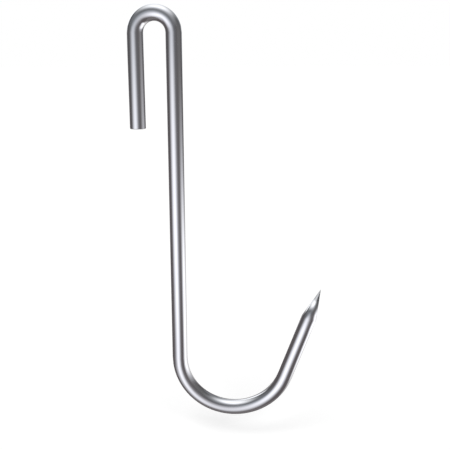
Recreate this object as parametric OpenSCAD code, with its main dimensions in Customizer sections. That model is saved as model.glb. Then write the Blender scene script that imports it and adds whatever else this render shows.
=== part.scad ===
// J-hook for hanging things from a flat rail: one length of polished round bar,
// bent cold and ground to a point.
//
// The centreline of the bar lies in the XZ plane. From the cut end it runs up the
// leg, over the rail bend, down the shank, round the load bend and up the arm to
// the point. The leg, the rail bend and the shank make the slot that drops over
// the rail.
//
// The origin is the rail seat, the top of the inside of the rail bend. +Z is up,
// the shank hangs plumb, and the point is on the +X side.

/* [Bar] */
// Diameter of the round bar
bar_d = 8; // [4:0.5:12]

/* [Rail slot] */
// Clear width of the slot between the leg and the shank
slot_w = 11; // [6:0.5:40]
// Straight length of the leg, from the rail bend to its cut end
leg_l = 46.7; // [10:0.1:120]
// Chamfer round the edge of the cut end
cut_chamfer = 0.2; // [0.1:0.1:1.5]

/* [Shank] */
// Straight length of the shank, between the two bends
shank_l = 170; // [20:1:400]

/* [Load bend] */
// Clear diameter inside the load bend
load_bend_d = 51; // [12:1:150]
// Angle that the bar turns through in the load bend, where 180 sets the arm plumb
load_bend_angle = 160; // [90:1:180]

/* [Arm and point] */
// Straight length of the arm, from the load bend to the shoulder of the point
arm_l = 35.5; // [8:0.5:120]
// Length of the ground point, from its shoulder to its tip
point_l = 17; // [8:0.5:60]
// Radius left at the very tip of the point
tip_r = 0.2; // [0.1:0.05:0.5]
// Length of surface over which the grinding rounds the shoulder into the bar
shoulder_l = 3; // [1:0.5:6]

/* [Hidden] */

steel = "silver";

bar_r = bar_d / 2;
bar_fn = 96;         // facets round the bar
bend_fn = 180;       // facets round a whole turn of a bend
shoulder_steps = 8;
tip_steps = 4;

// Radii of the two bends, at the centreline of the bar
rail_bend_r = (slot_w + bar_d) / 2;
load_bend_r = (load_bend_d + bar_d) / 2;

// How far the arm leans away from the shank
arm_lean = 180 - load_bend_angle;

// The point's shoulder is rounded by an arc that meets the bar and the flank of
// the cone, half of its length before the shoulder and half after it.
shoulder_run = shoulder_l / 2;
tip_ball_z = point_l - tip_r;
cone_half_angle = atan2(bar_r, tip_ball_z) - asin(tip_r / norm([bar_r, tip_ball_z]));
shoulder_arc_r = shoulder_run / tan(cone_half_angle / 2);

// Points of a circular arc, as [x, y], from one angle to another
function arc(centre, r, from, to, steps) = [
    for (i = [0:steps])
        let (a = from + (to - from) * i / steps)
        centre + r * [cos(a), sin(a)]
];

// Half of the outline of the ground point, standing on the axis of the arm, with
// the shoulder at height 0
function point_outline() = concat(
    [[0, -shoulder_run]],
    arc([bar_r - shoulder_arc_r, -shoulder_run], shoulder_arc_r,
        0, cone_half_angle, shoulder_steps),
    arc([0, tip_ball_z], tip_r, cone_half_angle, 90, tip_steps)
);

// Straight round bar, standing on the XY plane
module bar(l) {
    cylinder(h = l, r = bar_r, $fn = bar_fn);
}

// Part of a ring of round bar in the XZ plane, centred on the origin. It starts at
// the angle from and turns anticlockwise, as seen from the front.
module bend(r, from, angle) {
    rotate([90, 0, 0])
        rotate([0, 0, from])
            rotate_extrude(angle = angle, $fn = bend_fn)
                translate([r, 0])
                    circle(r = bar_r, $fn = bar_fn);
}

// The frame of the load bend: its origin is the centre of the bend, and its +Z
// halves the angle between the shank and the arm.
module on_load_bend() {
    translate([rail_bend_r + load_bend_r, 0, -slot_w / 2 - shank_l])
        rotate([0, arm_lean / 2, 0])
            children();
}

// One straight side of the load bend: the axis of the shank at the origin, where
// the bend begins, with +Z away from the bend
module on_side() {
    rotate([0, -arm_lean / 2, 0])
        translate([-load_bend_r, 0, 0])
            children();
}

module on_shank() {
    on_load_bend()
        on_side()
            children();
}

// The arm's side is the shank's side, turned half round.
module on_arm() {
    on_load_bend()
        rotate([0, 0, 180])
            on_side()
                children();
}

// The short leg that drops behind the rail, sawn off square at its lower end
module leg() {
    on_shank()
        translate([-2 * rail_bend_r, 0, shank_l - leg_l]) {
            cylinder(h = cut_chamfer, r1 = bar_r - cut_chamfer, r2 = bar_r, $fn = bar_fn);
            translate([0, 0, cut_chamfer])
                bar(leg_l - cut_chamfer);
        }
}

// The half turn that sits on the rail
module rail_bend() {
    on_shank()
        translate([-rail_bend_r, 0, shank_l])
            bend(rail_bend_r, from = 0, angle = 180);
}

// The long straight shank
module shank() {
    on_shank()
        bar(shank_l);
}

// Half of the load bend, from its straight side to the middle of the turn. It is
// drawn a little long and trimmed there, so that the two halves meet face to face.
module half_load_bend() {
    trim_angle = 3;
    difference() {
        on_side()
            translate([load_bend_r, 0, 0])
                bend(load_bend_r, from = 180, angle = load_bend_angle / 2 + trim_angle);
        translate([0, -bar_d, -load_bend_r - bar_d])
            cube(2 * bar_d);
    }
}

// The wide bend that carries the load
module load_bend() {
    on_load_bend() {
        half_load_bend();
        rotate([0, 0, 180])
            half_load_bend();
    }
}

// The straight arm, up to where the shoulder of the point begins
module arm() {
    on_arm()
        bar(arm_l - shoulder_run);
}

// The ground point at the end of the arm
module point() {
    on_arm()
        translate([0, 0, arm_l])
            rotate_extrude($fn = bar_fn)
                polygon(point_outline());
}

// The whole hook, one solid of one bar
module hook() {
    color(steel)
        union() {
            leg();
            rail_bend();
            shank();
            load_bend();
            arm();
            point();
        }
}

hook();
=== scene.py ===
# %% [markdown]
# # A polished J-hook
# The real hook is one length of round steel bar. It is cut, bent twice, ground to
# a point and polished all over. The small bend drops over a flat rail, and the
# wide one carries the load. It is a good first lesson in Blender, because its
# shape is simple: nearly all that the eye enjoys comes from clean shading, and
# from what the steel reflects.
#
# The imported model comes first. It fixes where everything is, in metres, and its
# box is kept, so that the finished hook can be measured against it.

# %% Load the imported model
import math

import bmesh
import bpy
from mathutils import Matrix, Vector


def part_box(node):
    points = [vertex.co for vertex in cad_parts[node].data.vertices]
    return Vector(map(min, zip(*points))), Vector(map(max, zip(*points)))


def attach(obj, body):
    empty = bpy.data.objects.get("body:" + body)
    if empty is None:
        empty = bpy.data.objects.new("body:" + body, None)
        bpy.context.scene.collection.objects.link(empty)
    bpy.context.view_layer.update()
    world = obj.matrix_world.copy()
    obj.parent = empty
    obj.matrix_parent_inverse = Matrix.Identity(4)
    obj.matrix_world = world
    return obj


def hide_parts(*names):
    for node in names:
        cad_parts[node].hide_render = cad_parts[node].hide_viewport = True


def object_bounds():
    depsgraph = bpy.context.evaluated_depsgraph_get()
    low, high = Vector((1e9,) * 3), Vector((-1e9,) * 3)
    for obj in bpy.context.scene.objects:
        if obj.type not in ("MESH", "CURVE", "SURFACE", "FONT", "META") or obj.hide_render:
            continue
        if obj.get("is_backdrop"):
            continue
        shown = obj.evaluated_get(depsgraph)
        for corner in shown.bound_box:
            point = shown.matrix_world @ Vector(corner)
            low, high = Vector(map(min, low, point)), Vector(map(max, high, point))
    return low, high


MM = 0.001
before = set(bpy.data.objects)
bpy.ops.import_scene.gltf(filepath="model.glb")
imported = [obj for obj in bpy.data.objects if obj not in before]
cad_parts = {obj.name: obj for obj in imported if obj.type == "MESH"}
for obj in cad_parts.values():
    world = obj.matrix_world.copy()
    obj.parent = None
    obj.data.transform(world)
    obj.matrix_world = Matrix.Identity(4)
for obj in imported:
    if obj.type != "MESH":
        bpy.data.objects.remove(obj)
cad_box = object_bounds()
hook_low, hook_high = (Vector(corner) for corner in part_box("hook"))
hook_middle = (hook_low + hook_high) / 2
print("CAD box, mm:", [[round(v / MM, 2) for v in corner] for corner in cad_box])

# %% [markdown]
# ## The camera
# Both bends lie in one flat plane, so a hook is shown best from the front. A
# camera a little above it also sees down into the bends and over the top of the
# bar. It could be aimed with a Track To constraint. A product of rotations is
# shorter, and each factor is one thing that a photographer does: turn, tilt and
# level.

# %% Place the camera
CAMERA_LENS = 55  # mm
CAMERA_SENSOR = 36  # mm wide
CAMERA_DISTANCE = 356.3 * MM
CAMERA_TURN = math.radians(2.7)  # round the hook, towards the side of its point
CAMERA_RISE = math.radians(13.5)  # above the level
CAMERA_ROLL = math.radians(-0.2)
AIM = hook_middle + Vector((-1.4, 0, -1.3)) * MM

camera = bpy.data.objects.new("camera", bpy.data.cameras.new("camera"))
camera.data.lens = CAMERA_LENS
camera.data.sensor_width = CAMERA_SENSOR
camera.data.clip_start = 10 * MM
camera.matrix_world = (
    Matrix.Translation(AIM)
    @ Matrix.Rotation(CAMERA_TURN, 4, "Z")
    @ Matrix.Rotation(math.radians(90) - CAMERA_RISE, 4, "X")
    @ Matrix.Rotation(CAMERA_ROLL, 4, "Z")
    @ Matrix.Translation((0, 0, CAMERA_DISTANCE))
)
bpy.context.scene.collection.objects.link(camera)
bpy.context.scene.camera = camera
print("camera, mm:", [round(v / MM) for v in camera.matrix_world.translation])

# %% [markdown]
# ## A straight bar
# The real hook starts as a straight bar, and so does this one. A circle the size
# of the cut end is extruded down into a tube, ring by ring. A curve with a round
# bevel would be quicker, but a mesh gives two things that matter here. Its rings
# can go just where they are wanted, and each point can remember its place in the
# straight bar, because the lines that drawing and polishing leave in the steel
# run along the bar and follow it round the bends.
#
# A straight run needs no rings between its ends. A bend has many, but its first
# and last steps are longer than the rest. There, smooth shading blends the long
# straight faces with faces that already turn away, so that a reflection starts to
# turn a little before the bend does, as it does on bar bent by hand.

# %% Sizes of the hook
BAR_R = 4 * MM  # radius of the round bar
CUT_CHAMFER = 0.2 * MM
SLOT_WIDTH = 11 * MM  # clear width between the leg and the shank
LEG_L = 46.7 * MM  # straight, from the cut end to the rail bend
SHANK_L = 170 * MM  # straight, between the bends
LOAD_BEND_CLEAR = 51 * MM  # clear diameter inside the wide bend
LOAD_BEND_ANGLE = math.radians(160)
ARM_L = 35.5 * MM  # straight, from the wide bend to the shoulder of the point
POINT_L = 17 * MM  # from the shoulder to the tip

rail_bend_r = SLOT_WIDTH / 2 + BAR_R
load_bend_r = LOAD_BEND_CLEAR / 2 + BAR_R
rail_bend_l = math.pi * rail_bend_r
load_bend_l = LOAD_BEND_ANGLE * load_bend_r

# Heights on the straight bar, which stands with its shank where it will stay
shank_top = -SLOT_WIDTH / 2
shank_end = shank_top - SHANK_L
cut_end = shank_top + rail_bend_l + LEG_L
arm_start = shank_end - load_bend_l
shoulder = arm_start - ARM_L
tip = shoulder - POINT_L
print("bar before bending, mm:", round((cut_end - tip) / MM, 1))

# %% Where the rings go
BAR_SIDES = 96
RAIL_BEND_STEPS = 42  # short ones
RAIL_END_STEP = 2.1 * MM  # the long one at either end
LOAD_BEND_STEPS = 46
LOAD_END_STEP = 3.7 * MM
SHOULDER_REACH = 8 * MM  # the last of the arm, which the grinding wheel just brushes


def steps_down(start, end, count):
    """Heights from start down to end in equal steps, without the first."""
    return [start + (end - start) * i / count for i in range(1, count + 1)]


def through_bend(start, end, end_step, count):
    """Heights through a bend: one long step, count short ones, and one long step."""
    first, last = start - end_step, end + end_step
    return [start, first] + steps_down(first, last, count) + [end]


ring_heights = (
    [cut_end - CUT_CHAMFER]
    + through_bend(shank_top + rail_bend_l, shank_top, RAIL_END_STEP, RAIL_BEND_STEPS)
    + through_bend(shank_end, arm_start, LOAD_END_STEP, LOAD_BEND_STEPS)
    + [shoulder + SHOULDER_REACH, shoulder]
)
print(len(ring_heights), "rings of", BAR_SIDES, "points")

# %% Extrude the circle down into the bar
bar = bmesh.new()
on_axis = Matrix.Translation((rail_bend_r, 0, cut_end))
bmesh.ops.create_circle(
    bar, cap_ends=True, segments=BAR_SIDES, radius=BAR_R - CUT_CHAMFER, matrix=on_axis
)


def extrude_ring(edges, height, radius):
    """Extrude an open ring of edges down to a height, at a radius."""
    made = bmesh.ops.extrude_edge_only(bar, edges=edges)["geom"]
    verts = [g for g in made if isinstance(g, bmesh.types.BMVert)]
    now_r = (verts[0].co.xy - on_axis.translation.xy).length
    now_z = verts[0].co.z
    bmesh.ops.scale(
        bar,
        verts=verts,
        vec=(radius / now_r, radius / now_r, 1),
        space=Matrix.Translation((-rail_bend_r, 0, 0)),
    )
    bmesh.ops.translate(bar, verts=verts, vec=(0, 0, height - now_z))
    return [g for g in made if isinstance(g, bmesh.types.BMEdge)]


ring = bar.edges[:]
for height in ring_heights:
    ring = extrude_ring(ring, height, BAR_R)
print(len(bar.faces), "faces so far")

# %% [markdown]
# ## The point
# The wheel takes the end of the arm down to a plain cone. A cone drawn from long
# triangles that meet in one vertex, and shaded smooth, catches the light as a
# hand-ground point does: its sides are dead straight, but its shading turns
# towards the tip, so that it ends in a single long glint.

# %% Draw the last ring out to the tip
ring = extrude_ring(ring, tip, BAR_R)
tip_verts = list({v for edge in ring for v in edge.verts})
bmesh.ops.pointmerge(bar, verts=tip_verts, merge_co=(rail_bend_r, 0, tip))
bmesh.ops.recalc_face_normals(bar, faces=bar.faces)
print(len(bar.verts), "points,", len(bar.faces), "faces")

# %% [markdown]
# ## Bending it
# On the bench the bar is clamped and pulled round a former. Here, each ring within
# a bend is carried back to the start of the bend, and turned round the former's
# centre by its own share of the angle. All that lies beyond is carried back and
# turned by the whole angle. A Simple Deform modifier bends a mesh too, but it
# stretches the bar unless its limits fit exactly.

# %% Note where each point is on the straight bar
straight = bar.verts.layers.float_vector.new("straight_bar")
for vert in bar.verts:
    vert[straight] = vert.co - Vector((rail_bend_r, 0, 0))


# %% Bend it round the two formers
DECIMALS = 7  # of a metre, to which the points of one ring agree


def bend(start, above, former_x, angle):
    """Bend the part above or below the height start, round a former at former_x."""
    way = 1 if above else -1
    radius = abs(former_x - rail_bend_r)
    rings_beyond = {}
    for vert in bar.verts:
        beyond = round((vert[straight].z - start) * way, DECIMALS)
        if beyond > 0:
            travel = round(min(beyond, radius * angle), DECIMALS)
            rings_beyond.setdefault(travel, []).append(vert)
    for travel, verts in rings_beyond.items():
        turn = Matrix.Rotation(-travel / radius, 3, "Y")
        bmesh.ops.translate(bar, verts=verts, vec=(0, 0, -way * travel))
        bmesh.ops.rotate(bar, verts=verts, cent=(former_x, 0, start), matrix=turn)


bend(shank_top, True, 0, math.pi)
bend(shank_end, False, rail_bend_r + load_bend_r, LOAD_BEND_ANGLE)
low, high = ([f(v.co[i] for v in bar.verts) / MM for i in range(3)] for f in (min, max))
print("bent bar, mm:", [round(v, 2) for v in low], [round(v, 2) for v in high])

# %% Make the object
SHARP = math.radians(30)  # only the rim of the cut end turns by more than this


def make_object(name, shape):
    """Turn a finished bmesh into an object in the scene."""
    made = bpy.data.objects.new(name, bpy.data.meshes.new(name))
    shape.to_mesh(made.data)
    shape.free()
    bpy.context.scene.collection.objects.link(made)
    return made


hook = make_object("polished_hook", bar)
hook.data.shade_smooth()
hook.data.set_sharp_from_angle(angle=SHARP)
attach(hook, "root")
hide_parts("hook")
print(hook.name, "has", len(hook.data.polygons), "faces")

# %% [markdown]
# ## Building a material
# Every material here is a small tree of nodes. The first helper adds one node. It
# sets the node's own settings by keyword, and its inputs from a dictionary, where
# a socket is linked and anything else is written on the input. The others make the
# few small patterns that come up again and again. A Mix node keeps its sockets for
# numbers and for colours side by side under the same names, so those are picked by
# their place in the list.


# %% Helpers for nodes
def add(tree, kind, inputs=None, **settings):
    """Add a shader node, with its settings, and its inputs set or linked."""
    made = tree.nodes.new("ShaderNode" + kind)
    for name, value in settings.items():
        setattr(made, name, value)
    for name, value in (inputs or {}).items():
        if isinstance(value, bpy.types.NodeSocket):
            tree.links.new(value, made.inputs[name])
        else:
            made.inputs[name].default_value = value
    return made


def new_material(name):
    """A material with an empty tree, and the tree."""
    material = bpy.data.materials.new(name)
    material.use_nodes = True
    material.node_tree.nodes.clear()
    return material, material.node_tree


def noise(tree, place, scale, detail=3.0):
    """Noise with its own scale along each axis."""
    fitted = add(tree, "Mapping", {"Vector": place, "Scale": scale})
    inputs = {"Vector": fitted.outputs[0], "Scale": 1.0, "Detail": detail}
    return add(tree, "TexNoise", inputs).outputs["Fac"]


def ramp(tree, value, low, high):
    """0 up to low, 1 from high on, and a smooth change between."""
    limits = {"Value": value, "From Min": low, "From Max": high}
    return add(tree, "MapRange", limits, interpolation_type="SMOOTHSTEP").outputs[0]


def blend(tree, factor, first, second):
    """One value where factor is 0, another where it is 1."""
    values = {0: factor, 2: first, 3: second}
    return add(tree, "Mix", values, data_type="FLOAT").outputs[0]


def blend_colours(tree, factor, first, second, mode="MIX"):
    """One colour where factor is 0, another, or the sum of both, where it is 1."""
    colours = {0: factor, 6: first, 7: second}
    return add(tree, "Mix", colours, data_type="RGBA", blend_type=mode).outputs[2]


# %% [markdown]
# ## Polished steel
# Polishing never takes everything away. Drawing leaves hair lines along the bar,
# the wheel leaves fine rings round the point, and the saw leaves straight lines
# across the cut end. All three are noise, stretched in a different way, and read
# from each point's place in the straight bar. They are only about a thousandth of
# a millimetre deep, so from arm's length they just soften the reflections.

# %% Marks left by drawing, grinding and sawing
# How fine each pattern is, per metre: twice across the bar, then along it
DRAWN_LINES = (2600, 2600, 30)
GRINDING_RINGS = (150, 150, 5200)
SAW_LINES = (3500, 250, 250)

# Heights on the straight bar, between which one finish fades into the other
grinding_begins, grinding_rules = shoulder + 2 * MM, shoulder - 1 * MM
sawing_begins, sawing_rules = cut_end - 0.06 * MM, cut_end - 0.04 * MM

steel, tree = new_material("polished_steel")
place = add(tree, "Attribute", attribute_name="straight_bar").outputs["Vector"]
height = add(tree, "SeparateXYZ", {"Vector": place}).outputs["Z"]
ground = ramp(tree, height, grinding_begins, grinding_rules)
sawn = ramp(tree, height, sawing_begins, sawing_rules)
along_bar = blend(
    tree, ground, noise(tree, place, DRAWN_LINES), noise(tree, place, GRINDING_RINGS)
)
surface_marks = blend(tree, sawn, along_bar, noise(tree, place, SAW_LINES))

# %% Colour, gloss and relief of the steel
BRIGHT_STEEL = (0.79, 0.79, 0.795, 1)
CLOUDED_STEEL = (0.765, 0.765, 0.775, 1)
CLOUDS = (90, 90, 25)  # per metre, as above
BRIGHT_ROUGHNESS = 0.09
CLOUDED_ROUGHNESS = 0.13
GROUND_ROUGHNESS = 0.14
SAWN_ROUGHNESS = 0.3
MARK_DEPTH = 0.0012 * MM

clouds = noise(tree, place, CLOUDS, detail=2.0)
colour = blend_colours(tree, ramp(tree, clouds, 0.35, 0.7), BRIGHT_STEEL, CLOUDED_STEEL)
polish = add(
    tree,
    "MapRange",
    {
        "Value": clouds,
        "From Min": 0.3,
        "From Max": 0.7,
        "To Min": BRIGHT_ROUGHNESS,
        "To Max": CLOUDED_ROUGHNESS,
    },
)
roughness = blend(tree, ground, polish.outputs[0], GROUND_ROUGHNESS)
roughness = blend(tree, sawn, roughness, SAWN_ROUGHNESS)
relief = add(
    tree, "Bump", {"Height": surface_marks, "Distance": MARK_DEPTH, "Strength": 1.0}
)
shader = add(
    tree,
    "BsdfPrincipled",
    {
        "Base Color": colour,
        "Metallic": 1.0,
        "Roughness": roughness,
        "Normal": relief.outputs[0],
    },
)
add(tree, "OutputMaterial", {"Surface": shader.outputs[0]})
hook.data.materials.append(steel)
print(len(tree.nodes), "nodes in the steel")

# %% [markdown]
# ## A white room
# The hook hangs from a rail, so the white floor of the room lies a little below
# it. Light Path lets the room be plain white to the camera, and to rays that come
# off a shiny surface or through a clear one, while it stays a dim grey as a source
# of light. The floor is a grey sheet that looks white in the same way, by light of
# its own. So the two meet without a line, and the floor takes the hook's shadow,
# but only faintly. The Standard view shows white as white.

# %% Light Path, as white to look at
ROOM_LIGHT = 0.2


def looked_at(tree):
    """1 for rays from the camera, off a glossy surface or through a clear one."""
    path = add(tree, "LightPath").outputs
    seen = path["Is Camera Ray"]
    for other in ("Is Glossy Ray", "Is Transmission Ray"):
        seen = add(tree, "Math", {0: seen, 1: path[other]}, operation="MAXIMUM").outputs[0]
    return seen


room = bpy.data.worlds.new("white_room")
room.use_nodes = True
bpy.context.scene.world = room
tree = room.node_tree
tree.nodes.clear()
level = add(
    tree, "MapRange", {"Value": looked_at(tree), "To Min": ROOM_LIGHT, "To Max": 1.0}
)
background = add(tree, "Background", {"Color": (1, 1, 1, 1), "Strength": level.outputs[0]})
add(tree, "OutputWorld", {"Surface": background.outputs[0]})
bpy.context.scene.view_settings.view_transform = "Standard"
print("room lights at", ROOM_LIGHT, "and looks white")

# %% The floor
FLOOR_SIZE = 20.0
FLOOR_GAP = 15 * MM  # from the foot of the wide bend down to the floor
FLOOR_GREY = (0.4, 0.4, 0.4, 1)
FLOOR_GLOW = 0.71

sheet = bmesh.new()
below = Matrix.Translation((0, 0, hook_low.z - FLOOR_GAP))
bmesh.ops.create_grid(sheet, x_segments=1, y_segments=1, size=FLOOR_SIZE, matrix=below)
floor = make_object("floor", sheet)
floor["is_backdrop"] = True

white, tree = new_material("white_floor")
matt = add(tree, "BsdfDiffuse", {"Color": FLOOR_GREY})
own = add(tree, "Math", {0: looked_at(tree), 1: FLOOR_GLOW}, operation="MULTIPLY")
shine = add(tree, "Emission", {"Color": (1, 1, 1, 1), "Strength": own.outputs[0]})
both = add(tree, "AddShader", {0: matt.outputs[0], 1: shine.outputs[0]})
add(tree, "OutputMaterial", {"Surface": both.outputs[0]})
floor.data.materials.append(white)
print("floor at", round(below.translation.z / MM, 2), "mm")

# %% [markdown]
# ## Two soft lamps
# A sun lamp with a wide angle stands for a big softbox some way off. It lights
# the whole floor evenly, which an area lamp close by would not. Both lamps stand
# in front of the hook, one on each side, so that its shadow falls back a little
# and lies soft and faint just under the wide bend. Here and on the tent, azimuth
# is 0 straight behind the hook and 90 on its right.

# %% Lamps
LAMPS = (
    # name, azimuth and elevation of the lamp, how wide it is, strength
    ("right_softbox", 161, 39, 30, 1.4),
    ("left_softbox", -149, 58, 28, 1.2),
)
for name, azimuth, elevation, width, strength in LAMPS:
    lamp = bpy.data.objects.new(name, bpy.data.lights.new(name, "SUN"))
    lamp.data.energy = strength
    lamp.data.angle = math.radians(width)
    lamp.rotation_euler = (math.radians(90 - elevation), 0, math.radians(180 - azimuth))
    lamp.visible_glossy = False
    bpy.context.scene.collection.objects.link(lamp)
print(len(LAMPS), "lamps")

# %% [markdown]
# ## What the steel sees
# Polished steel has next to no look of its own: it shows what stands round it. In
# an all-white room it would be a white shape on white, so a photographer builds a
# tent of dark cloth round it, with soft windows where the bright bands should run.
# This tent is a tall egg that only reflections see. The camera, the lamps and the
# room's own light pass straight through it. It stands near the hook at the sides,
# so the bands drift a little as they run along the bar.
#
# Real cards and softboxes are one way to make it. Soft patches of light on one
# egg are easier to move and to blend, and they make no noise. Each patch is an
# oval, given in degrees by where it is, seen from the hook's rail seat, and by how
# far it reaches to the side and up. The next number is the share of that reach
# over which its edge fades. In the nodes, a patch is a spherical gradient, which
# falls from 1 at its centre to 0 at its rim. A Mapping node of the texture kind
# moves it to its place, turns it to face the hook, and stretches it.

# %% The windows of the tent
LOW_CLOTH = (0.129, 0.116, 0.121, 1)  # a warm grey
HIGH_CLOTH = (0.08, 0.082, 0.085, 1)  # a cool one, and darker
WAIST = 0.5  # the sine of the elevation up to which the one fades into the other
WHITE = (1, 1, 1)
PALE = (0.96, 0.975, 1)
COOL = (0.91, 0.93, 1)
BLUE = (0.84, 0.9, 1)
WINDOWS = (
    # name, azimuth, elevation, reach to the side, reach up, fade, strength, tint
    ("ceiling", 3, 79, 80, 89, 0.85, 1.21, PALE),
    ("front ceiling", 147, 62, 59, 73, 1.0, 0.56, COOL),
    ("rear window", -25, 17, 42, 19, 0.5, 0.91, PALE),
    ("rear wall", -14, 14, 39, 48, 0.2, 0.25, PALE),
    ("rear glow", 5, 27, 59, 37, 0.2, 0.16, BLUE),
    ("right window", 83, -23, 54, 27, 1.0, 0.9, COOL),
    ("right window, low", 84, -42, 36, 9, 0.5, 0.58, COOL),
    ("right window, behind", 58, -37, 89, 27, 0.7, 0.69, WHITE),
    ("right wall", 97, 12, 71, 64, 0.75, 0.07, WHITE),
    ("key window", -152, -21, 88, 38, 0.95, 1.26, COOL),
    ("key window, low", -170, -44, 33, 31, 0.7, 0.41, COOL),
    ("left window, low", -139, -52, 48, 18, 0.7, 0.43, COOL),
    ("left wall", -119, 38, 90, 90, 0.95, 0.14, BLUE),
    ("front glow", -163, 10, 56, 31, 1.0, 0.39, BLUE),
    ("front strip", 150, -5, 15, 43, 0.3, 0.05, BLUE),
    ("floor", -32, -87, 35, 26, 0.2, 0.07, WHITE),
)

# %% Paint the windows on the tent
def sine(degrees):
    """Sine of an angle in degrees."""
    return math.sin(math.radians(degrees))


cloth, tree = new_material("tent_cloth")
cloth.cycles.emission_sampling = "NONE"
from_seat = add(tree, "TexCoord").outputs["Object"]
outward = add(tree, "VectorMath", {0: from_seat}, operation="NORMALIZE").outputs[0]
upward = add(tree, "SeparateXYZ", {"Vector": outward}).outputs["Z"]
light = blend_colours(tree, ramp(tree, upward, -WAIST, WAIST), LOW_CLOTH, HIGH_CLOTH)
for name, azimuth, elevation, side_reach, up_reach, fade, strength, tint in WINDOWS:
    turn, rise = math.radians(azimuth), math.radians(elevation)
    facing = Matrix.Rotation(-turn, 3, "Z") @ Matrix.Rotation(rise, 3, "X")
    oval = add(
        tree,
        "Mapping",
        {
            "Vector": outward,
            "Location": facing @ Vector((0, 1, 0)),
            "Rotation": (rise, 0, -turn),
            "Scale": (sine(side_reach), 1, sine(up_reach)),
        },
        vector_type="TEXTURE",
    )
    patch = add(
        tree, "TexGradient", {"Vector": oval.outputs[0]}, gradient_type="SPHERICAL"
    )
    bright = [strength * part for part in tint] + [1]
    share = ramp(tree, patch.outputs["Fac"], 0, fade)
    light = blend_colours(tree, share, light, bright, mode="ADD")
shine = add(tree, "Emission", {"Color": light, "Strength": 1.0})
add(tree, "OutputMaterial", {"Surface": shine.outputs[0]})
print(len(WINDOWS), "windows,", len(tree.nodes), "nodes")

# %% Put the tent round the hook
TENT_HALF = (0.8, 0.6, 3.0)  # half its width, depth and height, m
TENT_SEGMENTS = 64

egg = bmesh.new()
bmesh.ops.create_uvsphere(
    egg, u_segments=TENT_SEGMENTS, v_segments=TENT_SEGMENTS, radius=1
)
bmesh.ops.scale(egg, verts=egg.verts, vec=TENT_HALF)
tent = make_object("tent", egg)
tent.data.materials.append(cloth)
for ray in ("camera", "diffuse", "transmission", "volume_scatter", "shadow"):
    setattr(tent, "visible_" + ray, False)
tent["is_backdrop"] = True

# In the steel, the floor would cover the tent's lower half, and the hook's own
# reflections would break up the bands.
floor.visible_glossy = False
hook.visible_glossy = False
print("tent, m:", [2 * half for half in TENT_HALF])

# %% [markdown]
# ## Measure and finish
# The finished hook is measured against the imported model's box, and both boxes are
# printed.

# %% Measure
visual_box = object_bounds()
sizes = {"cad": cad_box, "visual": visual_box}
for name, box in sizes.items():
    print(name, "box, mm:", [[round(v / MM, 2) for v in corner] for corner in box])
